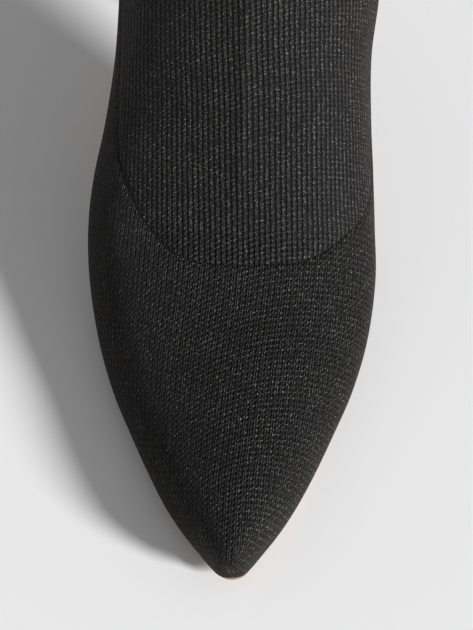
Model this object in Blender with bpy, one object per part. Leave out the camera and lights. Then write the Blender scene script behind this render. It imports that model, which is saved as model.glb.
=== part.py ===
"""Over-the-knee knit boot for the right foot, with a pointed toe and a slim block heel.

Metres, +Z up. The toe points to -Y, the inner side of the foot is +X, and the origin is the middle of
the heel tip's ground face. The boot is shaped on a last: its sections stand upright at the toe, lean
forward over the instep and lie level from the shin up, and every piece follows the same sole line.
"""

from collections import namedtuple
from math import acos, cos, hypot, pi, radians, sin, tan

import bmesh
import bpy
from mathutils import Vector

# Foot
LENGTH = 0.238  # toe tip to the back of the heel, measured along the floor
BALL_WIDTH = 0.0838  # over the upper at the ball
BALL_HEIGHT = 0.0315  # sole to the top of the foot at the ball
INSTEP_LENGTH = 0.1167  # back corner of the heel seat to the front of the ankle
SEAT_WIDTH = 0.060  # sole at the heel seat
TOE_ASIDE = 0.0052  # the toe tip lies this far to the outer side of the heel's middle
NOSE_TUCK = 0.0016  # the upper's lower edge lies this far behind the toe tip
NOSE_LIFT = 0.0035  # the foremost point of the toe stands this far over that edge

# Sole and heel
HEEL_HEIGHT = 0.082  # floor to the underside of the sole at its back edge
SEAT_PITCH = radians(20)
SEAT_LENGTH = 0.048
TREAD_START = 0.066  # the flat of the forefoot, behind the toe tip
TREAD_END = 0.108
TOE_SPRING = 0.0050  # the underside's lift at the toe tip
SOLE = 0.0020
SOLE_INSET = 0.0008  # the outsole's edge lies under the upper
INSOLE = 0.0020
TIP_FROM_BACK = 0.026  # middle of the heel tip to the back of the heel
TIP_LENGTH = 0.026
TIP_WIDTH = 0.025
TIP_HEIGHT = 0.0060

# Shaft, in its worn form
TOP_HEIGHT = 0.650  # floor to the collar
LEG_FROM_BACK = 0.055  # the leg's axis to the back of the heel
ANKLE_WIDTH = 0.0625
ANKLE_DEPTH = 0.0790
CALF_WIDTH = 0.104
CALF_DEPTH = 0.107
KNEE_WIDTH = 0.104
KNEE_DEPTH = 0.109
COLLAR_WIDTH = 0.122
COLLAR_DEPTH = 0.1215
HEM_HEIGHT = 0.018
HEM_STEP = 0.0008  # the folded hem stands out from the wall

# Walls and clearances
WALL = 0.0020
MARGIN = 0.0100  # lasting margin, turned in under the foot
GAP = 0.0003  # between pieces that touch
INSOLE_PLAY = 0.0009  # insole's edge to the upper's wall
FEATHER = SOLE + GAP  # the upper's underside, off the outsole's underside

# Facets and shape rules
AROUND = 32
HEEL_LEVELS = 8
HEEL_CURVE = 1.8  # how fast the heel narrows under its seat
TOE_FAN = 0.024  # in front of this, the sole's edges move along rays from one point
MERGE = 1e-6

Section = namedtuple("Section", "back turn foot top half mid seat wide crest nose")

# The upright sections of the forefoot. They lie (step / spread) squared times the length behind the toe
# tip, which crowds them where the toe is round, and the first only mirrors the third through the tip.
# Half and crest are shares of half the ball's width, mid of the toe's shift and height of the ball's
# height. Seat is the sole's share of the section's width, wide the height of its widest place, and nose
# the share of the tip's tuck and lift.
FOREFOOT_SPREAD = 15.43
FOREFOOT = [
    # step, half, mid, height, seat, wide, crest, nose
    (-1, -0.079, 1.00, 0.34, 0.90, 0.30, 0.000, 0.45),
    (0, 0.000, 1.00, 0.22, 0.90, 0.30, 0.000, 1.00),
    (1, 0.079, 1.00, 0.34, 0.90, 0.30, 0.000, 0.45),
    (2, 0.145, 1.00, 0.45, 0.90, 0.28, 0.000, 0.10),
    (3, 0.228, 1.00, 0.52, 0.90, 0.26, 0.000, 0.00),
    (4, 0.337, 1.00, 0.57, 0.90, 0.25, 0.000, 0.00),
    (5, 0.452, 1.00, 0.62, 0.90, 0.25, 0.000, 0.00),
    (6, 0.567, 0.97, 0.67, 0.90, 0.26, 0.010, 0.00),
    (7, 0.690, 0.95, 0.72, 0.90, 0.27, 0.020, 0.00),
    (8, 0.823, 0.92, 0.79, 0.90, 0.28, 0.035, 0.00),
    (9, 0.929, 0.90, 0.90, 0.90, 0.29, 0.060, 0.00),
    (10, 0.994, 0.93, 1.15, 0.89, 0.29, 0.085, 0.00),
]

# The sections from the ball to the heel seat. They start on the sole at a share of the length, lean
# forward by an angle, and their height is a share of the instep's length.
WAIST = [
    # along, lean, height, half, mid, seat, wide, crest
    (0.496, 12.2, 0.395, 1.000, 1.00, 0.87, 0.30, 0.105),
    (0.550, 18.0, 0.443, 0.975, 0.90, 0.85, 0.33, 0.105),
    (0.609, 25.8, 0.467, 0.918, 0.62, 0.84, 0.37, 0.085),
    (0.672, 35.0, 0.488, 0.880, 0.34, 0.84, 0.41, 0.055),
    (0.739, 43.2, 0.540, 0.887, 0.00, 0.81, 0.43, 0.025),
    (0.807, 48.0, 0.638, 0.870, -0.04, 0.825, 0.44, 0.010),
]

# The sections round the back of the heel, where the sole's outline is half an ellipse.
SEAT_ROUND = 0.030
SEAT = [
    # turn, lean, height, half
    (0, 50.2, 0.752, 0.850),
    (30, 52.0, 0.860, 0.845),
    (60, 52.6, 0.948, 0.840),
    (90, 52.0, 1.000, 0.838),
]

# The closed sections of the ankle and leg. Each takes its width and depth from a named pair of sizes. Back
# and front are heights over the seat as shares of the height from there to the collar, and behind is the
# share of the depth that lies behind the leg's axis.
LEG = [
    # sizes, width, depth, back, front, behind, wide
    ("ankle", 1.130, 1.178, 0.018, 0.144, 0.594, 0.46),
    ("ankle", 1.144, 1.170, 0.041, 0.163, 0.593, 0.46),
    ("ankle", 1.136, 1.134, 0.068, 0.183, 0.580, 0.47),
    ("ankle", 1.104, 1.090, 0.098, 0.204, 0.561, 0.48),
    ("ankle", 1.056, 1.044, 0.132, 0.228, 0.539, 0.49),
    ("ankle", 1.016, 1.010, 0.171, 0.255, 0.520, 0.50),
    ("ankle", 1.000, 1.000, 0.217, 0.287, 0.510, 0.51),
    ("ankle", 1.032, 1.028, 0.273, 0.325, 0.511, 0.52),
    ("calf", 0.705, 0.815, 0.352, 0.385, 0.528, 0.52),
    ("calf", 0.835, 0.900, 0.450, 0.464, 0.551, 0.53),
    ("calf", 0.960, 0.972, 0.553, 0.556, 0.563, 0.54),
    ("calf", 1.000, 1.000, 0.646, 0.646, 0.556, 0.54),
    ("knee", 0.950, 0.955, 0.737, 0.737, 0.524, 0.52),
    ("knee", 1.000, 1.000, 0.828, 0.828, 0.500, 0.50),
    ("collar", 0.920, 0.945, 0.914, 0.914, 0.508, 0.50),
    ("collar", 1.000, 1.000, 1.000, 1.000, 0.527, 0.50),
]
LEG_SIZES = {
    "ankle": (ANKLE_WIDTH, ANKLE_DEPTH),
    "calf": (CALF_WIDTH, CALF_DEPTH),
    "knee": (KNEE_WIDTH, KNEE_DEPTH),
    "collar": (COLLAR_WIDTH, COLLAR_DEPTH),
}

TIP = 1  # places in the list of all sections
TOE_SOLID = 3.5  # the toe's stiffener fills the upper in front of this
BALL = len(FOREFOOT) - 1
SEAT_FIRST = len(FOREFOOT) + len(WAIST)
CLOSING = SEAT_FIRST + len(SEAT) - 1
COLLAR = CLOSING + len(LEG)


def y_of(back):
    """Y of a place that lies back metres behind the toe tip."""
    return back + TIP_FROM_BACK - LENGTH


def underside(back):
    """Height and slope of the sole's underside, back metres behind the toe tip."""
    if back < TREAD_START:
        share = (TREAD_START - back) / TREAD_START
        return TOE_SPRING * share**2, -2 * TOE_SPRING * share / TREAD_START
    if back <= TREAD_END:
        return 0.0, 0.0
    pitch = tan(SEAT_PITCH)
    seat_start = LENGTH - SEAT_LENGTH
    seat_front = HEEL_HEIGHT - SEAT_LENGTH * pitch
    if back >= seat_start:
        return seat_front + (back - seat_start) * pitch, pitch
    run = seat_start - TREAD_END
    s = (back - TREAD_END) / run
    rise = (3 * s**2 - 2 * s**3) * seat_front + (s**3 - s**2) * run * pitch
    slope = (6 * s - 6 * s**2) * seat_front / run + (3 * s**2 - 2 * s) * pitch
    return rise, slope


def off_sole(back, lift, aside=0.0):
    """The place that stands lift metres square off the sole's underside."""
    height, slope = underside(back)
    size = hypot(1, slope)
    return Vector((aside, y_of(back) - lift * slope / size, height + lift / size))


def forefoot_section(step, half, mid, height, seat, wide, crest, nose):
    from_tip = (step / FOREFOOT_SPREAD) ** 2 * LENGTH
    back = from_tip + NOSE_TUCK * (1 - abs(step) / 10)
    foot = off_sole(back, FEATHER)
    top = Vector((0, y_of(from_tip), foot.z + height * BALL_HEIGHT + nose * NOSE_LIFT))
    unit = BALL_WIDTH / 2
    return Section(back, 0, foot, top, half * unit, -mid * TOE_ASIDE, seat, wide, crest * unit, nose)


def leaning(back, lean, height):
    """Both ends of a section that starts on the sole and leans forward."""
    foot = off_sole(back, FEATHER)
    reach = height * INSTEP_LENGTH
    return foot, foot + reach * Vector((0, -sin(radians(lean)), cos(radians(lean))))


def waist_section(along, lean, height, half, mid, seat, wide, crest):
    foot, top = leaning(along * LENGTH, lean, height)
    unit = BALL_WIDTH / 2
    return Section(along * LENGTH, 0, foot, top, half * unit, -mid * TOE_ASIDE, seat, wide, crest * unit, 0)


def seat_back(turn):
    return LENGTH - SEAT_ROUND * (1 - sin(radians(turn)))


def seat_section(turn, lean, height, half):
    foot, top = leaning(seat_back(turn), lean, height)
    half_width = half * BALL_WIDTH / 2
    seat = SEAT_WIDTH / 2 * cos(radians(turn)) / half_width
    return Section(seat_back(turn), turn, foot, top, half_width, 0, seat, 0.45, 0, 0)


def leg_section(sizes, width, depth, back, front, behind, wide):
    full_width, full_depth = LEG_SIZES[sizes]
    heel = off_sole(LENGTH, FEATHER)
    rise = TOP_HEIGHT - heel.z
    axis = y_of(LENGTH - LEG_FROM_BACK)
    foot = Vector((0, axis + behind * depth * full_depth, heel.z + back * rise))
    top = Vector((0, foot.y - depth * full_depth, heel.z + front * rise))
    return Section(LENGTH, 90, foot, top, width * full_width / 2, 0, 0, wide, 0, 0)


SECTIONS = [forefoot_section(*row) for row in FOREFOOT]
SECTIONS += [waist_section(*row) for row in WAIST]
SECTIONS += [seat_section(*row) for row in SEAT]
SECTIONS += [leg_section(*row) for row in LEG]


def section_at(t):
    """The section at t, on a smooth curve through the listed ones."""
    k = min(int(t), COLLAR - 1)
    s = t - k
    before, after = max(k - 1, 0), min(k + 2, COLLAR)
    made = []
    for a, b, c, d in zip(SECTIONS[before], SECTIONS[k], SECTIONS[k + 1], SECTIONS[after]):
        lead = (c - a) * (1 / (k + 1 - before))
        tail = (d - b) * (1 / (after - k))
        made.append(
            b * (2 * s**3 - 3 * s**2 + 1) + lead * (s**3 - 2 * s**2 + s)
            + c * (3 * s**2 - 2 * s**3) + tail * (s**3 - s**2)
        )
    part = Section(*made)
    if t >= CLOSING:
        return part._replace(seat=0)
    if t > SEAT_FIRST:
        turn = min(part.turn, 90)
        part = part._replace(back=seat_back(turn), seat=SEAT_WIDTH / 2 * cos(radians(turn)) / part.half)
    nose = Vector((0, -NOSE_TUCK, NOSE_LIFT)) * part.nose
    return part._replace(foot=off_sole(part.back, FEATHER) + nose)


def ring(t, grow=0.0):
    """The outside of the upper at t, from the inner side's sole edge over the top to the outer side's."""
    part = section_at(t)
    half = max(part.half, 0) + grow
    start = acos(min(max(part.seat, 0), 1))
    up = part.top - part.foot
    height = up.length + 2 * grow
    up.normalize()
    level = part.wide * height
    low = level / sin(start)
    points = []
    for i in range(AROUND + 1):
        angle = -start + (pi + 2 * start) * i / AROUND
        s = sin(angle)
        rise = level + (height - level if s > 0 else low) * s - grow
        aside = part.mid + half * cos(angle) + part.crest * max(s, 0) ** 1.5
        points.append(part.foot + up * rise + Vector((aside, 0, 0)))
    return points


def new_object(name, mesh, color=(0, 0, 0), roughness=0.5):
    """A named object from a finished mesh, with its own plain material."""
    bmesh.ops.remove_doubles(mesh, verts=mesh.verts, dist=MERGE)
    bmesh.ops.recalc_face_normals(mesh, faces=mesh.faces)
    data = bpy.data.meshes.new(name)
    mesh.to_mesh(data)
    mesh.free()
    made = bpy.data.objects.new(name, data)
    bpy.context.scene.collection.objects.link(made)
    material = bpy.data.materials.new(name)
    material.use_nodes = True
    surface = material.node_tree.nodes["Principled BSDF"]
    surface.inputs["Base Color"].default_value = (*color, 1)
    surface.inputs["Roughness"].default_value = roughness
    data.materials.append(material)
    data.shade_smooth()
    data.set_sharp_from_angle(angle=radians(35))
    return made


def cut(piece, name, mesh):
    """Takes a mesh out of a piece with a hidden cutter."""
    cutter = new_object(name, mesh)
    cutter.hide_render = True
    cutter.display_type = "WIRE"
    taken = piece.modifiers.new(name, "BOOLEAN")
    taken.operation = "DIFFERENCE"
    taken.object = cutter


def patch(mesh, rows):
    """Faces between rows of places, row by row."""
    grid = [[mesh.verts.new(place) for place in row] for row in rows]
    for near, far in zip(grid, grid[1:]):
        for corners in zip(near, near[1:], far[1:], far):
            mesh.faces.new(corners)


def places_between(first, last, per_row):
    """Evenly spaced places in the list of sections, both ends included."""
    count = round((last - first) * per_row)
    return [first + (last - first) * k / count for k in range(count + 1)]


def foot_places(first):
    """Where the foot's pieces have sections, from a place near the toe to the back of the heel."""
    return places_between(first, BALL, 1) + places_between(BALL, CLOSING, 2)[1:]


def level_place(height):
    """The place in the list where the shaft reaches a height."""
    low, high = COLLAR - 2, COLLAR
    for _ in range(40):
        middle = (low + high) / 2
        if section_at(middle).foot.z < height:
            low = middle
        else:
            high = middle
    return low


def sole_edges(places, distance):
    """Both edges of the foot at the places, moved outwards by a distance.

    Near the toe and round the heel they move along rays from the nearest end of the foot's middle line.
    """
    parts = [section_at(t) for t in places]
    toe = next(part for part in parts if part.back > TOE_FAN)
    heel = next(part for part in reversed(parts) if part.back < LENGTH - SEAT_ROUND)
    edges = []
    for part in parts:
        spine = toe if part.back < toe.back else heel if part.back > heel.back else part
        half = max(part.half, 0) * min(max(part.seat, 0), 1)
        for side in (1, -1):
            away = Vector((part.back - spine.back, part.mid + side * half - spine.mid))
            away *= max(1 + distance / away.length, 0.3)
            edges.append((spine.back + away.x, spine.mid + away.y))
    return edges[::2], edges[1::2]


def plate(places, distance, bottom, top):
    """A closed plate that follows the sole, between two lifts off its underside."""
    rails = []
    for lift, order in ((bottom, 1), (top, -1)):
        for edge in sole_edges(places, distance)[::order]:
            rails.append([off_sole(back, lift, aside) for back, aside in edge])
    mesh = bmesh.new()
    patch(mesh, [list(row) for row in zip(*rails, rails[0])])
    patch(mesh, [[rails[0][0], rails[1][0]], [rails[3][0], rails[2][0]]])
    patch(mesh, [[rails[0][-1], rails[1][-1]], [rails[3][-1], rails[2][-1]]])
    return mesh


def closed(rings):
    """A closed mesh from rings whose ends are joined across the foot, with flat ends."""
    mesh = bmesh.new()
    patch(mesh, [row + row[:1] for row in rings])
    for row in (rings[0], rings[-1]):
        if max(place.x for place in row) - min(place.x for place in row) > MERGE:
            mesh.faces.new([mesh.verts.new(place) for place in row])
    return mesh


def lining(rings, places):
    """The inside of the upper: every ring moved in square to the surface, above the margin."""
    made = []
    for k, row in enumerate(rings):
        near, far = rings[max(k - 1, 0)], rings[min(k + 1, len(rings) - 1)]
        round_the_leg = places[k] >= CLOSING
        part = section_at(places[k])
        sole_up = off_sole(part.back, 1) - off_sole(part.back, 0)
        moved = []
        for i, place in enumerate(row):
            before = row[i - 1] if i else row[-2] if round_the_leg else row[0]
            after = row[i + 1] if i < AROUND else row[1] if round_the_leg else row[-1]
            outwards = (far[i] - near[i]).cross(after - before).normalized()
            inner = place - outwards * WALL
            over_margin = (inner - part.foot).dot(sole_up)
            if not round_the_leg and over_margin < WALL:
                inner += sole_up * (WALL - over_margin)
            moved.append(inner)
        made.append(moved)
    return made


def upper():
    hem = level_place(TOP_HEIGHT - HEM_HEIGHT)
    step = level_place(TOP_HEIGHT - HEM_HEIGHT + HEM_STEP)
    leg = places_between(CLOSING, COLLAR - 1, 2)[1:]
    outside = [ring(t) for t in foot_places(TIP) + leg + [hem]]
    outside += [ring(t, grow=HEM_STEP) for t in (step, COLLAR)]
    made = new_object("upper", closed(outside), (0.012, 0.0115, 0.011), 0.85)

    places = foot_places(TOE_SOLID) + leg + [COLLAR]
    inside = lining([ring(t) for t in places], places)
    inside.append([place + Vector((0, 0, HEM_HEIGHT)) for place in inside[-1]])
    cut(made, "inside", closed(inside))
    opening = plate(foot_places(TOE_SOLID), -MARGIN, FEATHER - WALL, FEATHER + 2 * WALL)
    cut(made, "lasting_opening", opening)
    return made


def outsole():
    return new_object("outsole", plate(foot_places(TIP), -SOLE_INSET, 0, SOLE), (0.42, 0.31, 0.21), 0.5)


def insole():
    base = FEATHER + WALL + GAP
    mesh = plate(foot_places(TOE_SOLID), -WALL - INSOLE_PLAY, base, base + INSOLE)
    return new_object("insole", mesh, (0.35, 0.27, 0.19), 0.7)


def heel_level(share):
    """A loop of the heel, from its seat at share 0 to its foot at share 1."""
    inner, outer = sole_edges(places_between(SEAT_FIRST - 1, CLOSING, 2), -SOLE_INSET)
    breast, back = inner[0][0], inner[-1][0]
    taper = 1 - (1 - share) ** HEEL_CURVE
    foot = TIP_HEIGHT + GAP
    made = []
    for along, aside in inner + outer[-2::-1]:
        seat = off_sole(along, -GAP, aside)
        across = aside / (SEAT_WIDTH / 2 - SOLE_INSET)
        lengthwise = (along - breast) / (back - breast) - 0.5
        base = Vector((across * TIP_WIDTH / 2, lengthwise * TIP_LENGTH, 0))
        place = seat.lerp(base, taper)
        place.z = seat.z + (foot - seat.z) * share
        made.append(place)
    return made


def heel():
    loops = [heel_level(k / HEEL_LEVELS) for k in range(HEEL_LEVELS + 1)]
    return new_object("heel", closed(loops), (0.012, 0.0115, 0.011), 0.6)


def heel_tip():
    foot = heel_level(1)
    loops = [[Vector((place.x, place.y, height)) for place in foot] for height in (0, TIP_HEIGHT)]
    return new_object("heel_tip", closed(loops), (0.02, 0.02, 0.02), 0.5)


for old in list(bpy.data.objects):
    bpy.data.objects.remove(old, do_unlink=True)

upper()
outsole()
insole()
heel()
heel_tip()
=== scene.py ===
# %% [markdown]
# # An over-the-knee knit boot
# The real boot is a black knit sock on a slim block heel: a pointed foot, a tight shaft that ends above the
# knee, a thin tan outsole and a covered heel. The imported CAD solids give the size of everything. This
# lesson puts a finely knitted skin, a lining and finished sole parts on them, piece by piece.

# %% Load the frame
from math import acos, cos, hypot, pi, radians, sin, tan

import bpy
import numpy as np
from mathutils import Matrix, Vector
from mathutils.kdtree import KDTree


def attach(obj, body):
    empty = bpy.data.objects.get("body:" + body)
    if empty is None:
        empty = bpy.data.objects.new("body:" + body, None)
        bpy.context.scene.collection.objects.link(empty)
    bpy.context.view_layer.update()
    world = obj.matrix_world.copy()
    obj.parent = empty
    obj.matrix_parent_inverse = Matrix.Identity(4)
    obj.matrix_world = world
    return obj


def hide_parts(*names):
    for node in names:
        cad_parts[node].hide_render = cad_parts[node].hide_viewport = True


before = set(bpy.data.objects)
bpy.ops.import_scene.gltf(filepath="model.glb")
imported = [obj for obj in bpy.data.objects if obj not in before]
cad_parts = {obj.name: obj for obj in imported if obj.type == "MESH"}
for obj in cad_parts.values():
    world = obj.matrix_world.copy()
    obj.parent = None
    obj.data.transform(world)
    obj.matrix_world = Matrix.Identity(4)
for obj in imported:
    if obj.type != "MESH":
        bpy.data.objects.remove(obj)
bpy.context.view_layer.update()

bpy.ops.object.select_all(action="DESELECT")

# %% [markdown]
# ## The last
# A boot is stretched over a last, so its surface is one smooth run of sections: upright at the toe, leaning
# forward over the instep, and level from the shin up. The same short tables that shaped the solids shape the
# skin here, only with far more points on each section.

# %% Sizes of the foot, sole and leg, in metres
LENGTH = 0.238
BALL_WIDTH = 0.0838
BALL_HEIGHT = 0.0315
INSTEP_LENGTH = 0.1167
SEAT_WIDTH = 0.060
TOE_ASIDE = 0.0052
NOSE_TUCK = 0.0016
NOSE_LIFT = 0.0035
HEEL_HEIGHT = 0.082
SEAT_PITCH = tan(radians(20))
SEAT_LENGTH = 0.048
TREAD_START = 0.066
TREAD_END = 0.108
TOE_SPRING = 0.0050
SOLE = 0.0020
SOLE_INSET = 0.0008
INSOLE = 0.0020
TIP_FROM_BACK = 0.026
TIP_LENGTH = 0.026
TIP_WIDTH = 0.025
TIP_HEIGHT = 0.0060
TOP_HEIGHT = 0.650
LEG_FROM_BACK = 0.055
HEM_HEIGHT = 0.018
HEM_STEP = 0.0008
WALL = 0.0020
MARGIN = 0.0080
GAP = 0.0003
INSOLE_PLAY = 0.0009
FEATHER = SOLE + GAP
FOREFOOT_SPREAD = 15.43
SEAT_ROUND = 0.030
HEEL_CURVE = 1.8
TOE_FAN = 0.024
LEG_SIZES = {
    "ankle": (0.0625, 0.0790),
    "calf": (0.104, 0.107),
    "knee": (0.104, 0.109),
    "collar": (0.122, 0.1215),
}
print("foot", LENGTH, "m long, shaft", TOP_HEIGHT, "m high")

# %% [markdown]
# The tables list what a last maker measures at each section. Foot widths are shares of half the ball's width,
# heights are shares of the ball's height or the instep's length, and leg widths are shares of that part of
# the leg. A table keeps the whole boot's form in view, and one changed number moves one place.

# %% Tables of sections
FOREFOOT = [
    # step, half, mid, height, seat, wide, crest, nose
    (-1, -0.079, 1.00, 0.34, 0.90, 0.30, 0.000, 0.45),
    (0, 0.000, 1.00, 0.22, 0.90, 0.30, 0.000, 1.00),
    (1, 0.079, 1.00, 0.34, 0.90, 0.30, 0.000, 0.45),
    (2, 0.145, 1.00, 0.45, 0.90, 0.28, 0.000, 0.10),
    (3, 0.228, 1.00, 0.52, 0.90, 0.26, 0.000, 0.00),
    (4, 0.337, 1.00, 0.57, 0.90, 0.25, 0.000, 0.00),
    (5, 0.452, 1.00, 0.62, 0.90, 0.25, 0.000, 0.00),
    (6, 0.567, 0.97, 0.67, 0.90, 0.26, 0.010, 0.00),
    (7, 0.690, 0.95, 0.72, 0.90, 0.27, 0.020, 0.00),
    (8, 0.823, 0.92, 0.79, 0.90, 0.28, 0.035, 0.00),
    (9, 0.929, 0.90, 0.90, 0.90, 0.29, 0.060, 0.00),
    (10, 0.994, 0.93, 1.15, 0.89, 0.29, 0.085, 0.00),
]
WAIST = [
    # along, lean, height, half, mid, seat, wide, crest
    (0.496, 12.2, 0.395, 1.000, 1.00, 0.87, 0.30, 0.105),
    (0.550, 18.0, 0.443, 0.975, 0.90, 0.85, 0.33, 0.105),
    (0.609, 25.8, 0.467, 0.918, 0.62, 0.84, 0.37, 0.085),
    (0.672, 35.0, 0.488, 0.880, 0.34, 0.84, 0.41, 0.055),
    (0.739, 43.2, 0.540, 0.887, 0.00, 0.81, 0.43, 0.025),
    (0.807, 48.0, 0.638, 0.870, -0.04, 0.825, 0.44, 0.010),
]
SEAT = [
    # turn, lean, height, half
    (0, 50.2, 0.752, 0.850),
    (30, 52.0, 0.860, 0.845),
    (60, 52.6, 0.948, 0.840),
    (90, 52.0, 1.000, 0.838),
]
LEG = [
    # sizes, width, depth, back, front, behind, wide
    ("ankle", 1.130, 1.178, 0.018, 0.144, 0.594, 0.46),
    ("ankle", 1.144, 1.170, 0.041, 0.163, 0.593, 0.46),
    ("ankle", 1.136, 1.134, 0.068, 0.183, 0.580, 0.47),
    ("ankle", 1.104, 1.090, 0.098, 0.204, 0.561, 0.48),
    ("ankle", 1.056, 1.044, 0.132, 0.228, 0.539, 0.49),
    ("ankle", 1.016, 1.010, 0.171, 0.255, 0.520, 0.50),
    ("ankle", 1.000, 1.000, 0.217, 0.287, 0.510, 0.51),
    ("ankle", 1.032, 1.028, 0.273, 0.325, 0.511, 0.52),
    ("calf", 0.705, 0.815, 0.352, 0.385, 0.528, 0.52),
    ("calf", 0.835, 0.900, 0.450, 0.464, 0.551, 0.53),
    ("calf", 0.960, 0.972, 0.553, 0.556, 0.563, 0.54),
    ("calf", 1.000, 1.000, 0.646, 0.646, 0.556, 0.54),
    ("knee", 0.950, 0.955, 0.737, 0.737, 0.524, 0.52),
    ("knee", 1.000, 1.000, 0.828, 0.828, 0.500, 0.50),
    ("collar", 0.920, 0.945, 0.914, 0.914, 0.508, 0.50),
    ("collar", 1.000, 1.000, 1.000, 1.000, 0.527, 0.50),
]
TIP = 1
TOE_SOLID = 3.5
BALL = len(FOREFOOT) - 1
SEAT_FIRST = len(FOREFOOT) + len(WAIST)
CLOSING = SEAT_FIRST + len(SEAT) - 1
COLLAR = CLOSING + len(LEG)
print("sections", COLLAR + 1, "ball at", BALL, "collar at", COLLAR)


# %% [markdown]
# ## From a table row to a section
# Each section is ten numbers: where it meets the sole, where its top is, and how wide and how full it is.
# Between two rows a smooth curve runs through the numbers themselves, so that any place on the boot has its
# section.

# %% The sole line
def y_of(back):
    return back + TIP_FROM_BACK - LENGTH


def underside(back):
    """Height and slope of the sole's underside, back metres behind the toe tip."""
    if back < TREAD_START:
        share = (TREAD_START - back) / TREAD_START
        return TOE_SPRING * share**2, -2 * TOE_SPRING * share / TREAD_START
    if back <= TREAD_END:
        return 0.0, 0.0
    seat_start = LENGTH - SEAT_LENGTH
    seat_front = HEEL_HEIGHT - SEAT_LENGTH * SEAT_PITCH
    if back >= seat_start:
        return seat_front + (back - seat_start) * SEAT_PITCH, SEAT_PITCH
    run = seat_start - TREAD_END
    s = (back - TREAD_END) / run
    rise = (3 * s**2 - 2 * s**3) * seat_front + (s**3 - s**2) * run * SEAT_PITCH
    return rise, (6 * s - 6 * s**2) * seat_front / run + (3 * s**2 - 2 * s) * SEAT_PITCH


def off_sole(back, lift, aside=0.0):
    """The place that stands lift metres square off the sole's underside."""
    height, slope = underside(back)
    size = hypot(1, slope)
    return np.array([aside, y_of(back) - lift * slope / size, height + lift / size])


def seat_back(turn):
    return LENGTH - SEAT_ROUND * (1 - sin(radians(turn)))


print("sole at the heel", off_sole(LENGTH, 0).round(4))


# %% [markdown]
# One list holds all sections from the toe to the collar. At the toe they start in front of the tip, so that
# the curve through them closes the point roundly. Round the heel seat they turn with its outline.

# %% The list of sections
def section(back, turn, foot, top, half, mid, seat, wide, crest, nose):
    return np.array([back, turn, *foot, *top, half, mid, seat, wide, crest, nose])


def leaning(back, lean, height):
    foot = off_sole(back, FEATHER)
    return foot, foot + height * INSTEP_LENGTH * np.array([0, -sin(radians(lean)), cos(radians(lean))])


UNIT = BALL_WIDTH / 2
SECTIONS = []
for step, half, mid, height, seat, wide, crest, nose in FOREFOOT:
    from_tip = (step / FOREFOOT_SPREAD) ** 2 * LENGTH
    back = from_tip + NOSE_TUCK * (1 - abs(step) / 10)
    foot = off_sole(back, FEATHER)
    top = (0, y_of(from_tip), foot[2] + height * BALL_HEIGHT + nose * NOSE_LIFT)
    widths = (half * UNIT, -mid * TOE_ASIDE, seat, wide, crest * UNIT, nose)
    SECTIONS.append(section(back, 0, foot, top, *widths))
for along, lean, height, half, mid, seat, wide, crest in WAIST:
    foot, top = leaning(along * LENGTH, lean, height)
    widths = (half * UNIT, -mid * TOE_ASIDE, seat, wide, crest * UNIT, 0)
    SECTIONS.append(section(along * LENGTH, 0, foot, top, *widths))
for turn, lean, height, half in SEAT:
    foot, top = leaning(seat_back(turn), lean, height)
    seat = SEAT_WIDTH / 2 * cos(radians(turn)) / (half * UNIT)
    SECTIONS.append(section(seat_back(turn), turn, foot, top, half * UNIT, 0, seat, 0.45, 0, 0))
for sizes, width, depth, behind_rise, front_rise, behind, wide in LEG:
    full_width, full_depth = LEG_SIZES[sizes]
    heel_edge = off_sole(LENGTH, FEATHER)
    rise = TOP_HEIGHT - heel_edge[2]
    near = y_of(LENGTH - LEG_FROM_BACK) + behind * depth * full_depth
    foot = (0, near, heel_edge[2] + behind_rise * rise)
    top = (0, near - depth * full_depth, heel_edge[2] + front_rise * rise)
    SECTIONS.append(section(LENGTH, 90, foot, top, width * full_width / 2, 0, 0, wide, 0, 0))
print("listed", len(SECTIONS), "sections")


# %% [markdown]
# ## Places on the skin
# A place on the skin has two numbers: t, its place in the list of sections, and its share round the section,
# from 1 at the inner sole edge over 0 at the top to -1 at the outer sole edge.

# %% Section and place
def section_at(t):
    """The section at t, on a smooth curve through the listed ones."""
    k = min(int(t), COLLAR - 1)
    s = t - k
    before, after = max(k - 1, 0), min(k + 2, COLLAR)
    a, b, c, d = SECTIONS[before], SECTIONS[k], SECTIONS[k + 1], SECTIONS[after]
    lead = (c - a) / (k + 1 - before)
    tail = (d - b) / (after - k)
    made = (
        b * (2 * s**3 - 3 * s**2 + 1) + lead * (s**3 - 2 * s**2 + s)
        + c * (3 * s**2 - 2 * s**3) + tail * (s**3 - s**2)
    )
    part = {"back": made[0], "foot": made[2:5], "top": made[5:8], "half": made[8], "mid": made[9]}
    part.update(seat=made[10], wide=made[11], crest=made[12])
    if t >= CLOSING:
        part["seat"] = 0
        return part
    if t > SEAT_FIRST:
        turn = min(made[1], 90)
        part["back"] = seat_back(turn)
        part["seat"] = SEAT_WIDTH / 2 * cos(radians(turn)) / part["half"]
    part["foot"] = off_sole(part["back"], FEATHER) + np.array([0, -NOSE_TUCK, NOSE_LIFT]) * made[13]
    return part


def skin(t, share, grow=0.0):
    """Places on the outside of the upper, at one t and one or more shares."""
    part = section_at(t)
    half = max(part["half"], 0) + grow
    start = acos(min(max(part["seat"], 0), 1))
    up = part["top"] - part["foot"]
    height = np.linalg.norm(up)
    up = up / height
    height += 2 * grow
    level = part["wide"] * height
    angle = -start + (pi + 2 * start) * (1 - np.asarray(share)) / 2
    s = np.sin(angle)
    lift = level + np.where(s > 0, height - level, level / sin(start)) * s - grow
    aside = part["mid"] + half * np.cos(angle) + part["crest"] * np.maximum(s, 0) ** 1.5
    return part["foot"] + lift[..., None] * up + aside[..., None] * np.array([1, 0, 0])


print("ball's widest place", skin(BALL, np.array([0.5])).round(4))


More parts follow.
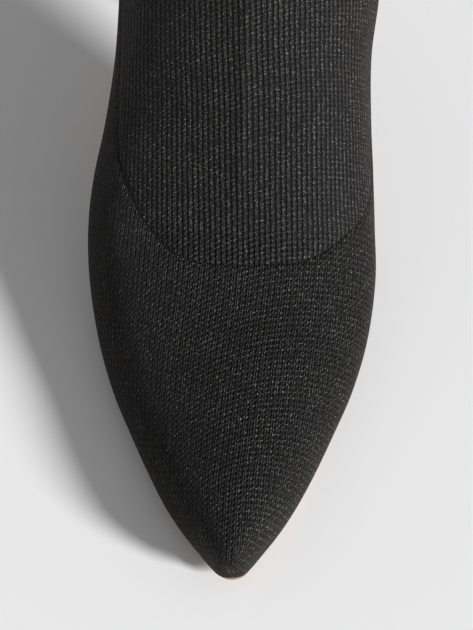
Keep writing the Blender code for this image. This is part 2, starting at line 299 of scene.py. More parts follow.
# %% [markdown]
# ## Rows of stitches need rows of points
# A flat grid is the best start for a knitted skin, because it already has rows and columns like the knit.
# The rows lie about as far apart as the stitches on the foot, where the boot is seen close up, and wider up
# the leg. No edit-mode operator can follow a last, so the grid's points are put in place by the section.

# %% Rows up the boot
COLUMNS = 232
SHARES = np.linspace(1, -1, COLUMNS + 1)
FOOT_ROW = 0.00115
LEG_ROW = 0.0034


def height_place(height):
    """The place in the list where the shaft reaches a height."""
    low, high = COLLAR - 2, COLLAR
    for _ in range(40):
        middle = (low + high) / 2
        low, high = (middle, high) if section_at(middle)["foot"][2] < height else (low, middle)
    return low


def even_rows(first, last, spacing):
    """Places between two others whose rows lie about a spacing apart, at the top and sides alike."""
    fine = np.linspace(first, last, 900)
    tracks = np.array([skin(t, np.array([0.0, 0.35, 0.7])) for t in fine])
    steps = np.linalg.norm(np.diff(tracks, axis=0), axis=2).mean(axis=1)
    travelled = np.concatenate([[0], np.cumsum(steps)])
    count = round(travelled[-1] / spacing)
    return np.interp(np.linspace(0, travelled[-1], count + 1), travelled, fine)


ANKLE_TOP = CLOSING + 6
hem_line = height_place(TOP_HEIGHT - HEM_HEIGHT)
hem_step = height_place(TOP_HEIGHT - HEM_HEIGHT + HEM_STEP)
hem_top = height_place(TOP_HEIGHT - 0.0014)
ROWS = [(t, 0.0) for t in even_rows(TIP, CLOSING, FOOT_ROW)]
ROWS += [(t, 0.0) for t in even_rows(CLOSING, ANKLE_TOP, 2 * FOOT_ROW)[1:]]
ROWS += [(t, 0.0) for t in even_rows(ANKLE_TOP, hem_line, LEG_ROW)[1:]]
ROWS += [(hem_line + 0.2 * (hem_step - hem_line), 0.5 * HEM_STEP), (hem_step, HEM_STEP)]
ROWS += [(t, HEM_STEP) for t in even_rows(hem_step, hem_top, LEG_ROW)[1:]]
print(len(ROWS), "rows and", COLUMNS, "columns:", 2 * len(ROWS) * COLUMNS, "triangles")

# %% [markdown]
# Now every row and column gets its place, and the direction square to the skin there. Along that direction
# the seam, the crease and the folds will be pushed in or out.

# %% Points of the skin
points = np.array([skin(t, SHARES, grow) for t, grow in ROWS])
places = np.array([t for t, _ in ROWS])


def outwards(grid):
    """The direction square to the surface at every point of a grid."""
    along = np.gradient(grid, axis=0)
    across = np.gradient(grid, axis=1)
    leg = places[: len(grid)] >= CLOSING
    ends = grid[leg][:, 1] - grid[leg][:, -2]
    across[leg, 0] = ends
    across[leg, -1] = ends
    facing = np.cross(along, across)
    return facing / np.maximum(np.linalg.norm(facing, axis=2, keepdims=True), 1e-12)


facing = outwards(points)
print("outwards at the ball's top", facing[np.searchsorted(places, BALL), COLUMNS // 2].round(2))

# %% [markdown]
# ## Lengths along the skin
# Knit has a fixed size, so a pattern on it needs real lengths and not shares. One map holds how far each
# point lies from the top line round the section, and how far it lies from the toe along its column.

# %% Lengths in metres
middle = COLUMNS // 2
round_steps = np.linalg.norm(np.diff(points, axis=1), axis=2)
round_length = np.concatenate([np.zeros((len(ROWS), 1)), np.cumsum(round_steps, axis=1)], axis=1)
across = round_length[:, middle : middle + 1] - round_length
along_steps = np.linalg.norm(np.diff(points, axis=0), axis=2)
along = np.concatenate([np.zeros((1, COLUMNS + 1)), np.cumsum(along_steps, axis=0)])
print("half round the ball", abs(across[np.searchsorted(places, BALL)]).max().round(4), "m")

# %% [markdown]
# ## The vamp seam
# The foot's knit is sewn to the front panel of the shaft along a U over the instep, whose ends run up both
# sides of the leg. Its route is a list of places on the skin. The nearest point of the route gives each
# point of the skin its distance from the seam, and how far along the seam it is.

# %% Route of the seam
SEAM = [
    # t, share
    (COLLAR, -0.500), (34, -0.500), (30, -0.505), (27, -0.520), (24, -0.545), (21, -0.580), (18.5, -0.610),
    (16.5, -0.625), (15.6, -0.622), (14.7, -0.590), (13.85, -0.531), (13.15, -0.480), (12.6, -0.440),
    (12.0, -0.398), (11.35, -0.345), (10.85, -0.275), (10.58, -0.185), (10.49, -0.085), (10.47, 0.020),
    (10.50, 0.115), (10.60, 0.225), (10.86, 0.325), (11.35, 0.432), (11.85, 0.515), (12.6, 0.600),
    (13.6, 0.645), (15.0, 0.660), (16.5, 0.655), (18.5, 0.630), (21, 0.590), (24, 0.550), (27, 0.520),
    (30, 0.505), (34, 0.500), (COLLAR, 0.500),
]
ROUTE_POINTS = 2600
fine_steps = np.linspace(0, len(SEAM) - 1, ROUTE_POINTS)
k = np.minimum(fine_steps.astype(int), len(SEAM) - 2)
s = fine_steps - k
weights = (2 * s**3 - 3 * s**2 + 1, s**3 - 2 * s**2 + s, 3 * s**2 - 2 * s**3, s**3 - s**2)
listed = np.array(SEAM, float).T
route_t, route_share = [
    w[k] * weights[0] + lead[k] * weights[1] + w[k + 1] * weights[2] + lead[k + 1] * weights[3]
    for w, lead in zip(listed, np.gradient(listed, axis=1))
]
route_t = np.minimum(route_t, COLLAR)
route = np.array([skin(t, np.array([share]))[0] for t, share in zip(route_t, route_share)])
route_length = np.concatenate([[0], np.cumsum(np.linalg.norm(np.diff(route, axis=0), axis=1))])
print("seam length", route_length[-1].round(3), "m")

# %% [markdown]
# A search tree finds the nearest place of the route quickly. The sign of the distance tells the shaft's
# front panel, which is plus, from the foot's knit, which is minus.

# %% Distance of every point from the seam
tree = KDTree(len(route))
for index, place in enumerate(route):
    tree.insert(place, index)
tree.balance()
flat_points = points.reshape(-1, 3)
nearest = np.array([tree.find(place)[1] for place in flat_points])
ahead = np.clip(nearest, 1, len(route) - 2)
toward = route[ahead + 1] - route[ahead - 1]
toward /= np.linalg.norm(toward, axis=1, keepdims=True)
offset = flat_points - route[nearest]
slide = np.einsum("ij,ij->i", offset, toward)
aside = np.linalg.norm(offset - slide[:, None] * toward, axis=1)
share_of = np.tile(SHARES, len(ROWS))
t_of = np.repeat(places, COLUMNS + 1)
turn_t = route_t[ahead + 1] - route_t[ahead - 1]
turn_share = route_share[ahead + 1] - route_share[ahead - 1]
side = np.sign(turn_share * (t_of - route_t[nearest]) - turn_t * (share_of - route_share[nearest]))
past_ends = np.linalg.norm(offset, axis=1) - 0.0012
seam_aside = (side * np.maximum(aside, past_ends)).reshape(points.shape[:2])
seam_along = (route_length[nearest] + slide).reshape(points.shape[:2])
print("points on the front panel", int((seam_aside > 0).sum()), "of", seam_aside.size)

# %% [markdown]
# ## Seam groove, front crease and folds
# The seam pulls the knit in along its line and lets it stand a little proud beside it. The front panel has a
# faint pressed crease down its middle. Where the ankle bends, and behind the knee, the knit lies in a few
# soft folds. All are small moves of the skin along its own outward direction.

# %% Moves in and out
SEAM_DEPTH = 0.00028
SEAM_HALF = 0.0009
CREASE_ASIDE = -0.0021
CREASE_HEIGHT = 0.0009
CREASE_START = 11.1
CREASE_SHARP = 0.0022
CREASE_BROAD = 0.009
LIP_ASIDE = 0.0026
LIP_HALF = 0.0012
FOLDS = [
    # height, tall, back, deep, tilt, droop, pitch, phase, depth
    (0.163, 0.024, -0.060, 0.030, 0.35, 0.10, 0.0145, 0.0, 0.00110),
    (0.150, 0.026, 0.022, 0.016, 0.00, -0.20, 0.0170, 0.8, 0.00110),
    (0.500, 0.040, 0.026, 0.030, 0.00, 0.30, 0.0300, 0.0, 0.00143),
]


def hump(values, centre, half):
    """A smooth hump of height one."""
    return np.exp(-(((values - centre) / half) ** 2))


moves = -SEAM_DEPTH * hump(seam_aside, 0, SEAM_HALF)
moves += 0.3 * SEAM_DEPTH * hump(np.abs(seam_aside), LIP_ASIDE, LIP_HALF)
crease_fade = np.clip((t_of.reshape(seam_aside.shape) - CREASE_START) / 1.2, 0, 1)
crease = np.exp(-np.abs(across - CREASE_ASIDE) / CREASE_SHARP)
crease += 0.5 * hump(across, CREASE_ASIDE, CREASE_BROAD)
moves += CREASE_HEIGHT * crease * crease_fade * (seam_aside > 0)
off_side, off_back, off_floor = np.abs(points[..., 0]), points[..., 1], points[..., 2]
for height, tall, back, deep, tilt, droop, pitch, phase, depth in FOLDS:
    where = hump(off_floor, height, tall) * hump(off_back, back, deep)
    level = off_floor + tilt * off_back + droop * off_side
    moves += depth * where * np.sin(2 * pi * level / pitch + phase)
worked = points + facing * moves[..., None]
print("moves from", moves.min().round(5), "to", moves.max().round(5), "m")


# %% [markdown]
# ## The knit upper
# The skin ends in a turned hem at the collar, so the rows go over a small round rim and down inside. At the
# sole the knit is lasted: two more columns on each side turn in under the foot. The grid's points take their
# places, and the seam up the back and the toe's point are closed by merging points that coincide.

# %% A grid laid over given places
def laid_grid(name, grid):
    """A primitive grid whose points take the given places, row by row."""
    rows, columns = grid.shape[:2]
    bpy.ops.object.select_all(action="DESELECT")
    bpy.ops.mesh.primitive_grid_add(x_subdivisions=columns - 1, y_subdivisions=rows - 1, size=1)
    made = bpy.context.object
    made.name = name
    made.data.name = name
    made.data.vertices.foreach_set("co", grid.reshape(-1).astype(np.float32))
    return made


def lengths_map(piece, name, values):
    """A UV map that holds two lengths in metres for every point of a laid grid."""
    corners = np.zeros(len(piece.data.loops), np.int32)
    piece.data.loops.foreach_get("vertex_index", corners)
    layer = piece.data.uv_layers.new(name=name)
    layer.data.foreach_set("uv", values.reshape(-1, 2)[corners].reshape(-1).astype(np.float32))


def close(piece, merge=2e-5):
    """Merges points that coincide and turns the faces outwards."""
    bpy.context.view_layer.objects.active = piece
    piece.select_set(True)
    bpy.ops.object.mode_set(mode="EDIT")
    bpy.ops.mesh.select_all(action="SELECT")
    bpy.ops.mesh.remove_doubles(threshold=merge)
    bpy.ops.mesh.normals_make_consistent(inside=False)
    bpy.ops.object.mode_set(mode="OBJECT")
    bpy.ops.object.shade_smooth()
    piece.select_set(False)
    print(piece.name, len(piece.data.polygons), "faces")


print("helpers for grids are ready")

# %% [markdown]
# The real collar is a folded hem with a round edge. A few rows go over that edge and down inside it. The
# lasting margin is flat, so two columns on each side are enough for it.

# %% Rim rows and margin columns
RIM = 0.0014
top_row = worked[-1]
inward = -facing[-1] * np.array([1, 1, 0])
inward /= np.linalg.norm(inward, axis=1, keepdims=True)
rim = [
    top_row + inward * RIM * (1 - cos(turn)) + np.array([0, 0, RIM * sin(turn)])
    for turn in np.radians([30, 60, 90, 120, 150, 180])
]
rim += [rim[-1] - np.array([0, 0, drop]) for drop in (0.006, 0.012, HEM_HEIGHT)]
grid = np.concatenate([worked, rim])
lasted = []
for t, row in zip(places, points):
    part = section_at(t)
    half = max(part["half"], 0) * min(max(part["seat"], 0), 1)
    inner_edge, outer_edge = row[0], row[-1]
    span = outer_edge - inner_edge
    width = np.linalg.norm(span)
    turned = min(MARGIN / max(width, 1e-9), 0.45) * span
    bend = 0.12 * turned
    lasted.append([inner_edge + turned, inner_edge + bend, outer_edge - bend, outer_edge - turned])
lasted = np.array(lasted + [[rim_row[0], rim_row[0], rim_row[-1], rim_row[-1]] for rim_row in rim])
grid = np.concatenate([lasted[:, :2], grid, lasted[:, 2:]], axis=1)
print("grid of", grid.shape[:2])


# %% [markdown]
# One grid makes the whole upper. Its two maps carry real lengths, so the knit keeps its scale from the toe to
# the collar, and the material can find the seam.

# %% Make the upper
def widened(values):
    """The same lengths with the rim rows and margin columns added."""
    last = values[-1:]
    rim_steps = np.arange(1, len(rim) + 1)[:, None] * 0.002
    tall = np.concatenate([values, last + rim_steps])
    return np.concatenate([tall[:, :1], tall[:, :1], tall, tall[:, -1:], tall[:, -1:]], axis=1)


def steady(values):
    """The same, but the rim rows keep the last row's lengths."""
    tall = np.concatenate([values, np.repeat(values[-1:], len(rim), axis=0)])
    return np.concatenate([tall[:, :1], tall[:, :1], tall, tall[:, -1:], tall[:, -1:]], axis=1)


upper = laid_grid("knit_upper", grid)
lengths_map(upper, "knit", np.stack([steady(across), widened(along)], axis=2))
lengths_map(upper, "seam", np.stack([steady(seam_aside), steady(seam_along)], axis=2))
upper.data.uv_layers.remove(upper.data.uv_layers[0])
close(upper)

# %% [markdown]
# ## The lining
# Inside the knit is a thin black tricot lining. It is the same skin moved in by the wall's thickness, and it
# is coarser, because it is seen only from above through the collar.

# %% Make the lining
every = [k for k in range(0, len(points), 3) if places[k] > TOE_SOLID and places[k] < hem_line]
inside = (points - facing * WALL)[every][:, ::4]
floor_of = np.array([off_sole(section_at(places[k])["back"], FEATHER + WALL)[2] for k in every])
low = (places[every] < CLOSING)[:, None] & (inside[..., 2] < floor_of[:, None])
inside[..., 2] = np.where(low, floor_of[:, None], inside[..., 2])
lining = laid_grid("lining", inside)
close(lining)
bpy.context.view_layer.objects.active = lining
bpy.ops.object.mode_set(mode="EDIT")
bpy.ops.mesh.select_all(action="SELECT")
bpy.ops.mesh.flip_normals()
bpy.ops.object.mode_set(mode="OBJECT")
print("lining from", inside[..., 2].min().round(3), "to", inside[..., 2].max().round(3), "m")


# %% [markdown]
# ## Sole plates
# An outsole and an insole are cut from flat stock along one outline and bent to the last. Each is a closed
# band of rails that run from the toe to the heel: two rails round off each edge, so that it catches light.

# %% Edges of the foot and plates between them
def foot_places(first, per_row):
    count = round((CLOSING - first) * per_row)
    return [first + (CLOSING - first) * k / count for k in range(count + 1)]


def sole_edges(steps, distance):
    """Both edges of the foot, moved outwards by a distance, as places behind the toe tip and aside."""
    parts = [section_at(t) for t in steps]
    toe = next(part for part in parts if part["back"] > TOE_FAN)
    heel_end = next(part for part in reversed(parts) if part["back"] < LENGTH - SEAT_ROUND)
    edges = []
    for part in parts:
        spine = toe if part["back"] < toe["back"] else heel_end if part["back"] > heel_end["back"] else part
        half = max(part["half"], 0) * min(max(part["seat"], 0), 1)
        for hand in (1, -1):
            away = Vector((part["back"] - spine["back"], part["mid"] + hand * half - spine["mid"]))
            away *= max(1 + distance / away.length, 0.3)
            edges.append((spine["back"] + away.x, spine["mid"] + away.y))
    return edges[::2], edges[1::2]


SHOWN_BACK = 0.05


def plate(name, first, rails, shown=0.0):
    """A closed plate through rails, each a distance from the foot's edge and a lift off the sole.

    The toe moves to the inner side by shown, where the real sole's edge peeps out.
    """
    steps = foot_places(first, 10)
    inner, outer = [], []
    for distance, lift in rails:
        for found, kept in zip(sole_edges(steps, distance), (inner, outer)):
            kept.append([])
            for back, aside in found:
                kept[-1].append(off_sole(back, lift, aside + shown * max(0, 1 - back / SHOWN_BACK) ** 2))
    loop = np.array(inner + outer[::-1] + inner[:1]).transpose(1, 0, 2)
    ends = [np.repeat(row.mean(axis=0)[None, None], row.shape[0], axis=1) for row in (loop[0], loop[-1])]
    made = laid_grid(name, np.concatenate([ends[0], loop, ends[1]]))
    close(made)
    bpy.context.view_layer.objects.active = made
    bpy.ops.object.shade_smooth_by_angle(angle=radians(50))
    return made


print("plates are ready")

# %% [markdown]
# The outsole's edge is cut back under the upper, so from above only a thin tan line shows at the toe. The
# insole lies on the turned margin inside, with a little play to the wall.

# %% Outsole and insole
PEEP = 0.0004
ROUND = 0.0005
edge = -0.0009
skived = [
    (edge - 5 * ROUND, 0),
    (edge - 2 * ROUND, 0),
    (edge - ROUND, ROUND),
    (edge, SOLE),
    (edge - 3 * ROUND, FEATHER),
]
outsole = plate("leather_outsole", TIP, skived, shown=PEEP)
base = FEATHER + WALL + GAP
rim_in = -WALL - INSOLE_PLAY
rounded = [
    (rim_in - ROUND, base),
    (rim_in, base + ROUND),
    (rim_in, base + INSOLE - ROUND),
    (rim_in - ROUND, base + INSOLE),
]
insole = plate("sock_insole", TOE_SOLID, rounded)
print("outsole and insole made")


# %% [markdown]
# ## The heel and its top piece
# The heel is a slim tapered block under the seat, wrapped in the same cloth as the boot. It is lofted from
# the seat's outline down to a small foot, and its two front corners and lower rim are bevelled. The top
# piece under it is what touches the floor.

# %% Loft of the heel
HEEL_ROWS = 30
BREAST_POINTS = 14


def heel_row(share):
    """A loop round the heel, from its seat at share 0 to its foot at share 1."""
    steps = foot_places(SEAT_FIRST - 1, 8)
    inner, outer = sole_edges(steps, -SOLE_INSET)
    breast, back_end = inner[0][0], inner[-1][0]
    taper = 1 - (1 - share) ** HEEL_CURVE
    row = []
    for back, aside in inner + outer[-2::-1]:
        seat_place = off_sole(back, -GAP, aside)
        across_share = aside / (SEAT_WIDTH / 2 - SOLE_INSET)
        lengthwise = (back - breast) / (back_end - breast) - 0.5
        foot_place = np.array([across_share * TIP_WIDTH / 2, lengthwise * TIP_LENGTH, 0])
        place = seat_place + (foot_place - seat_place) * taper
        place[2] = seat_place[2] + (TIP_HEIGHT + GAP - seat_place[2]) * share
        row.append(place)
    row += [row[-1] + (row[0] - row[-1]) * k / BREAST_POINTS for k in range(1, BREAST_POINTS)]
    return np.array(row + row[:1])


def capped(rows):
    """Rows with a closing point at both ends."""
    ends = [np.repeat(row[:-1].mean(axis=0)[None], len(row), axis=0) for row in (rows[0], rows[-1])]
    rings = [row.mean(axis=0) + (row - row.mean(axis=0)) * 0.97 for row in (rows[0], rows[-1])]
    return np.array([ends[0], rings[0], *rows, rings[1], ends[1]])


def bevelled(piece, width, angle):
    """Rounds the sharp edges of a piece."""
    bpy.context.view_layer.objects.active = piece
    rounding = piece.modifiers.new("rounding", "BEVEL")
    rounding.width = width
    rounding.segments = 3
    rounding.limit_method = "ANGLE"
    rounding.angle_limit = radians(angle)
    bpy.ops.object.modifier_apply(modifier="rounding")
    piece.select_set(True)
    bpy.ops.object.shade_smooth_by_angle(angle=radians(35))
    piece.select_set(False)


heel = laid_grid("covered_heel", capped([heel_row(k / HEEL_ROWS) for k in range(HEEL_ROWS + 1)]))
close(heel)
bevelled(heel, 0.0009, 40)
tip_rows = []
for height in (0.0, TIP_HEIGHT - 0.0008, TIP_HEIGHT):
    row = heel_row(1)
    row[:, 2] = height
    tip_rows.append(row)
top_piece = laid_grid("top_piece", capped(tip_rows))
close(top_piece)
bevelled(top_piece, 0.0004, 40)
print("heel and top piece made")

# %% [markdown]
# ## Colours and nodes
# Colours are written as the hex values that a picture editor shows. The renderer works in linear light, so
# one function turns them. One more function adds a node, sets it and links it.


# %% Helpers for materials
def linear(code):
    """An sRGB hex colour as linear light, with full cover."""
    values = [int(code[k : k + 2], 16) / 255 for k in (0, 2, 4)]
    return (*[v / 12.92 if v <= 0.04045 else ((v + 0.055) / 1.055) ** 2.4 for v in values], 1)


def add(tree, kind, inputs=None, output=0, **settings):
    """Adds a node with its settings. An input is a value, or another node's output to link."""
    made = tree.nodes.new(kind)
    for name, value in settings.items():
        setattr(made, name, value)
    for key, value in (inputs or {}).items():
        if isinstance(value, bpy.types.NodeSocket):
            tree.links.new(value, made.inputs[key])
        else:
            made.inputs[key].default_value = value
    return made.outputs[output]


def material(name):
    """A new material, its tree and its surface shader."""
    made = bpy.data.materials.new(name)
    made.use_nodes = True
    return made, made.node_tree, made.node_tree.nodes["Principled BSDF"]


print("black yarn is", [round(v, 4) for v in linear("222222")[:3]])

# %% [markdown]
# ## Rib-knit polyester
# The knit is a filament polyester: columns of small slanted holes with a loop of smooth yarn round each. A
# column is about 1.6 mm wide, and so is a row. The seam splits two panels. The shaft's panel has its holes in
# upright furrows between ribs, and the foot's has more slanted holes with a parting at each column's edge.
# Painted shade darkens the furrows, the partings and one side of each loop, and the whole shaft panel is
# painted darker as well: painted shade for one yarn that takes the light differently on the two panels.

# %% The knit material
WALE = 0.00158
FOOT_COURSE = 0.00168
SHAFT_COURSE = 0.00153
# Painted shade: the shaft's panel is painted this much darker than the foot's, in the same yarn.
SHAFT_PAINTED_SHADE = 0.78
knit, tree, surface = material("rib-knit polyester yarn")
MATH = "ShaderNodeMath"
RANGE = "ShaderNodeMapRange"
SOFT = "SMOOTHSTEP"


def panel(lean, course, centre, slant, hole_width, hole_height, furrow_shade_level, parting_shade_level):
    """How far each place of one knitted panel is yarn and not hole, with painted shade in its furrows,
    partings and loop sides. Its columns lean by a slope.
    """
    uv = add(tree, "ShaderNodeUVMap", uv_map="knit")
    split = tree.nodes.new("ShaderNodeSeparateXYZ")
    tree.links.new(uv, split.inputs[0])
    u, v = split.outputs[0], split.outputs[1]
    drift = add(tree, MATH, {0: v, 1: -centre}, operation="ADD")
    u = add(tree, MATH, {0: drift, 1: lean, 2: u}, operation="MULTIPLY_ADD")
    column_at = add(tree, MATH, {0: u, 1: 1 / WALE}, operation="MULTIPLY")
    column = add(tree, MATH, {0: column_at}, operation="FLOOR")
    in_column = add(tree, MATH, {0: column_at, 1: column}, operation="SUBTRACT")
    x = add(tree, MATH, {0: in_column, 1: 0.5}, operation="SUBTRACT")
    offset = add(tree, MATH, {0: column, 1: -0.375}, operation="MULTIPLY")
    row_at = add(tree, MATH, {0: v, 1: 1 / course, 2: offset}, operation="MULTIPLY_ADD")
    row = add(tree, MATH, {0: row_at}, operation="FLOOR")
    in_row = add(tree, MATH, {0: row_at, 1: row}, operation="SUBTRACT")
    y = add(tree, MATH, {0: in_row, 1: 0.5}, operation="SUBTRACT")
    slanted = add(tree, MATH, {0: y, 1: -slant, 2: x}, operation="MULTIPLY_ADD")
    wide = add(tree, MATH, {0: slanted, 1: 1 / hole_width}, operation="MULTIPLY")
    tall = add(tree, MATH, {0: y, 1: 1 / hole_height}, operation="MULTIPLY")
    wide2 = add(tree, MATH, {0: wide, 1: wide}, operation="MULTIPLY")
    reach = add(tree, MATH, {0: tall, 1: tall, 2: wide2}, operation="MULTIPLY_ADD")
    yarn = add(tree, RANGE, {0: reach, 1: 0.3, 2: 1.8, 3: 0.0, 4: 1.0}, interpolation_type=SOFT)
    off_middle = add(tree, MATH, {0: x}, operation="ABSOLUTE")
    # Painted shade: the yarn is darker down each column's middle, in the furrow.
    painted_furrow_shade = add(tree, RANGE, {0: off_middle, 1: 0.05, 2: 0.30, 3: furrow_shade_level}, interpolation_type=SOFT)
    # Painted shade: the yarn is darker at each column's edge, in the parting between columns.
    edges = {0: off_middle, 1: 0.32, 2: 0.48, 3: 1.0, 4: parting_shade_level}
    painted_parting_shade = add(tree, RANGE, edges, interpolation_type=SOFT)
    # Painted shade: one side of each stitch's loop is painted darker than the other.
    turn = add(tree, MATH, {0: x, 1: -0.375, 2: y}, operation="MULTIPLY_ADD")
    turn = add(tree, MATH, {0: turn, 1: 2 * pi}, operation="MULTIPLY")
    loop = add(tree, MATH, {0: turn}, operation="COSINE")
    loop = add(tree, RANGE, {0: loop, 1: -1.0, 2: 1.0, 3: 1.0, 4: 0.72})
    yarn = add(tree, MATH, {0: yarn, 1: painted_furrow_shade}, operation="MULTIPLY")
    yarn = add(tree, MATH, {0: yarn, 1: painted_parting_shade}, operation="MULTIPLY")
    return add(tree, MATH, {0: yarn, 1: loop}, operation="MULTIPLY")


foot_yarn = panel(
    lean=-0.05, course=FOOT_COURSE, centre=0.05, slant=0.34, hole_width=0.19, hole_height=0.50,
    furrow_shade_level=0.62, parting_shade_level=0.14,
)
shaft_yarn = panel(
    lean=0.05, course=SHAFT_COURSE, centre=0.20, slant=0.15, hole_width=0.24, hole_height=0.44,
    furrow_shade_level=0.50, parting_shade_level=0.95,
)
seam_uv = add(tree, "ShaderNodeUVMap", uv_map="seam")
seam_split = tree.nodes.new("ShaderNodeSeparateXYZ")
tree.links.new(seam_uv, seam_split.inputs[0])
aside_seam, along_seam = seam_split.outputs[0], seam_split.outputs[1]
is_shaft = add(tree, MATH, {0: aside_seam, 1: 0.0}, operation="GREATER_THAN")
yarn = add(tree, "ShaderNodeMix", {0: is_shaft, 2: foot_yarn, 3: shaft_yarn})
print("knit columns", WALE, "m wide")

# %% [markdown]
# The thread of the seam is a line of short stitches in its groove, and the line is painted darker as painted
# shade in that groove. A soft sheen at grazing angles and bright filament specks, painted glints in the
# colour, make the black read as yarn and not as paint. The holes are painted nearly black: partly the black
# lining seen through them, partly painted shade. The bump lets the loops round them catch the lamp.

# %% Thread, tone and bump of the knit
STITCH = 0.0021
SPECKS_PER_METRE = 2600.0
CLOUDS_PER_METRE = 60.0
off_line = add(tree, MATH, {0: aside_seam}, operation="ABSOLUTE")
line = add(tree, RANGE, {0: off_line, 1: 0.00012, 2: 0.00048, 3: 1.0, 4: 0.0}, interpolation_type=SOFT)
stitch_at = add(tree, MATH, {0: along_seam, 1: 2 * pi / STITCH}, operation="MULTIPLY")
stitch_wave = add(tree, MATH, {0: stitch_at}, operation="SINE")
stitch = add(tree, RANGE, {0: stitch_wave, 1: -0.6, 2: 0.1, 3: 0.0, 4: 1.0})
coords = add(tree, "ShaderNodeTexCoord", output=3)
cloud = add(tree, "ShaderNodeTexNoise", {"Vector": coords, "Scale": CLOUDS_PER_METRE, "Detail": 3.0})
fuzz = add(tree, "ShaderNodeTexNoise", {"Vector": coords, "Scale": SPECKS_PER_METRE, "Detail": 1.0})
# Painted glints: bright filament specks, on the yarn only.
painted_glint = add(tree, RANGE, {0: fuzz, 1: 0.58, 2: 0.72, 3: 0.0, 4: 1.0})
painted_glint_strength = add(tree, MATH, {0: painted_glint, 1: yarn}, operation="MULTIPLY")
tone_and_shade = add(tree, RANGE, {0: cloud, 1: 0.3, 2: 0.7, 3: 0.85, 4: 1.15})
fuzz_tone = add(tree, RANGE, {0: fuzz, 1: 0.3, 2: 0.7, 3: 0.6, 4: 1.4})
tone_and_shade = add(tree, MATH, {0: tone_and_shade, 1: fuzz_tone}, operation="MULTIPLY")
# Random tone, times painted shade that darkens the whole shaft panel.
panel_painted_shade = add(tree, RANGE, {0: is_shaft, 3: 1.0, 4: SHAFT_PAINTED_SHADE})
tone_and_shade = add(tree, MATH, {0: tone_and_shade, 1: panel_painted_shade}, operation="MULTIPLY")
MIX = "ShaderNodeMix"
# Holes painted near black: partly the black lining seen through them, partly painted shade.
colour = add(tree, MIX, {0: yarn, 6: linear("020202"), 7: linear("222222")}, 2, data_type="RGBA")
# Painted glints: the specks are mixed into the colour as pale grey.
colour = add(tree, MIX, {0: painted_glint_strength, 6: colour, 7: linear("6A6968")}, 2, data_type="RGBA")
shade = add(tree, "ShaderNodeCombineColor", {0: tone_and_shade, 1: tone_and_shade, 2: tone_and_shade})
colour = add(tree, MIX, {0: 1.0, 6: colour, 7: shade}, 2, data_type="RGBA", blend_type="MULTIPLY")
# Painted shade: the seam's line is darkened where it lies in its groove.
painted_seam_shade = add(tree, MATH, {0: line, 1: 0.6}, operation="MULTIPLY")
colour = add(tree, MIX, {0: painted_seam_shade, 6: colour, 7: linear("0A0A0A")}, 2, data_type="RGBA")
groove = add(tree, MATH, {0: line, 1: stitch}, operation="MULTIPLY")
height = add(tree, MATH, {0: groove, 1: 0.6, 2: yarn}, operation="MULTIPLY_ADD")
height = add(tree, MATH, {0: line, 1: -1.0, 2: height}, operation="MULTIPLY_ADD")
height = add(tree, MATH, {0: fuzz, 1: 0.25, 2: height}, operation="MULTIPLY_ADD")
bump = add(tree, "ShaderNodeBump", {"Height": height, "Strength": 1.0, "Distance": 0.0004})
tree.links.new(colour, surface.inputs["Base Color"])
tree.links.new(bump, surface.inputs["Normal"])
surface.inputs["Roughness"].default_value = 0.62
surface.inputs["IOR"].default_value = 1.5
surface.inputs["Specular IOR Level"].default_value = 0.12
surface.inputs["Sheen Weight"].default_value = 0.03
surface.inputs["Sheen Tint"].default_value = linear("D8A98C")
surface.inputs["Sheen Roughness"].default_value = 0.45
print("knit material has", len(tree.nodes), "nodes")


# %% [markdown]
# ## Sole leather, heel cover, rubber, sock and tricot
# The outsole is vegetable-tanned sole leather, tan and matt, with fine pores. The heel block is wrapped in a
# plain black cloth. The top piece is moulded polyurethane rubber. The sock is a thin tan lining leather, and
# the lining is a fine black tricot.

# %% Grained and woven finishes
def finish(name, low, high, grain, bump_height, roughness, detail=3.0, stretch=(1, 1, 1)):
    """A matt finish from two tones and a grain of a real size."""
    made, tree, surface = material(name)
    coords = add(tree, "ShaderNodeTexCoord", output=3)
    placed = add(tree, "ShaderNodeMapping", {"Vector": coords, "Scale": stretch})
    pores = add(tree, "ShaderNodeTexVoronoi", {"Vector": placed, "Scale": 1 / grain})
    patches = add(tree, "ShaderNodeTexNoise", {"Vector": coords, "Scale": 45.0, "Detail": detail})
    colour = add(tree, MIX, {0: patches, 6: linear(low), 7: linear(high)}, 2, data_type="RGBA")
    tree.links.new(colour, surface.inputs["Base Color"])
    bump = add(tree, "ShaderNodeBump", {"Height": pores, "Strength": 0.6, "Distance": bump_height})
    tree.links.new(bump, surface.inputs["Normal"])
    rough = add(tree, RANGE, {0: patches, 3: roughness - 0.08, 4: roughness + 0.08})
    tree.links.new(rough, surface.inputs["Roughness"])
    return made


sole_leather = finish("vegetable-tanned sole leather", "7C5E41", "9E8160", 0.0006, 0.00005, 0.55)
sock_leather = finish("lining leather sock", "8A6D4C", "A98B66", 0.0008, 0.00008, 0.60)
top_rubber = finish("moulded polyurethane rubber", "141414", "1F1F1F", 0.0005, 0.00004, 0.65)
tricot = finish("black tricot lining", "0D0D0E", "191919", 0.0007, 0.00015, 0.85, stretch=(1, 1, 0.5))
cover = finish("black heel-cover cloth", "121212", "232324", 0.0005, 0.00018, 0.72, stretch=(1, 1, 0.6))
for piece, made in (
    (upper, knit),
    (lining, tricot),
    (outsole, sole_leather),
    (insole, sock_leather),
    (heel, cover),
    (top_piece, top_rubber),
):
    piece.data.materials.clear()
    piece.data.materials.append(made)
print("six finishes are on")
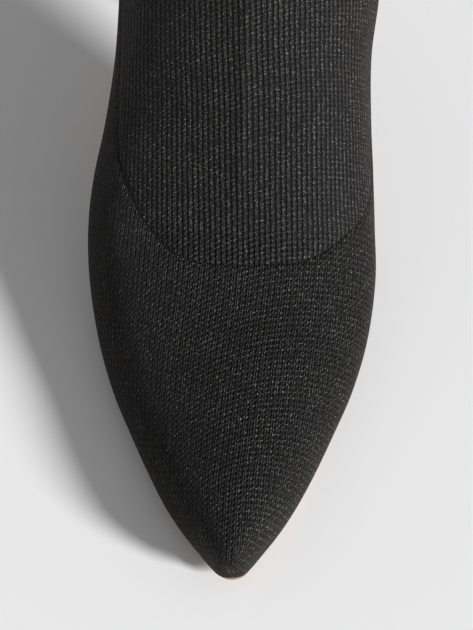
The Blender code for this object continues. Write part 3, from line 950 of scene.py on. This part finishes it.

# %% [markdown]
# ## Join the pieces to the frame
# Every piece rides on the boot's one body. Each stands for the CAD solid that it covers, and that solid is
# hidden.

# %% Ride and replace
for piece, nodes, slot in (
    (upper, ["upper"], "knit"),
    (lining, [], "knit"),
    (outsole, ["outsole"], "sole"),
    (insole, ["insole"], "sock"),
    (heel, ["heel"], "heel_cover"),
    (top_piece, ["heel_tip"], "top_piece"),
):
    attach(piece, "root")
    if nodes:
        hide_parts(*nodes)
print("all pieces ride on the boot")

# %% [markdown]
# ## Studio
# The boot stands on a wide pale floor. One large far lamp at the front right gives the soft-edged shadow
# that falls to the left, and an even pale world fills it. The camera looks down on the toe with a long lens.

# %% Floor, lamp, world and camera
bpy.ops.mesh.primitive_plane_add(size=60, location=(0, 0, 0))
floor = bpy.context.object
floor.name = "studio_floor"
paper, tree, surface = material("painted studio floor")
surface.inputs["Base Color"].default_value = linear("E9E9EA")
surface.inputs["Roughness"].default_value = 0.9
surface.inputs["Specular IOR Level"].default_value = 0.1
floor.data.materials.append(paper)

LAMP_AZIMUTH = radians(56)
LAMP_ELEVATION = radians(22.5)
toward_lamp = Vector(
    (sin(LAMP_AZIMUTH) * cos(LAMP_ELEVATION), -cos(LAMP_AZIMUTH) * cos(LAMP_ELEVATION), sin(LAMP_ELEVATION))
)
bpy.ops.object.light_add(type="SUN", location=toward_lamp)
lamp = bpy.context.object
lamp.name = "key_lamp"
lamp.data.angle = radians(11)
lamp.data.energy = 5.6
lamp.rotation_euler = toward_lamp.to_track_quat("Z", "Y").to_euler()

world = bpy.data.worlds.new("studio")
bpy.context.scene.world = world
world.use_nodes = True
world.node_tree.nodes["Background"].inputs["Color"].default_value = (1.0, 1.0, 1.0, 1)
world.node_tree.nodes["Background"].inputs["Strength"].default_value = 0.34

CAMERA_PLACE = (-0.0037, -0.7792, 0.9482)
CAMERA_TILT = radians(35)
bpy.ops.object.camera_add(location=CAMERA_PLACE, rotation=(CAMERA_TILT, 0, 0))
camera = bpy.context.object
camera.data.sensor_fit = "HORIZONTAL"
camera.data.sensor_width = 36
camera.data.lens = 300.05
camera.data.clip_start = 0.05
bpy.context.scene.camera = camera
bpy.context.scene.view_settings.view_transform = "Standard"
print("camera", tuple(round(v, 3) for v in camera.location))
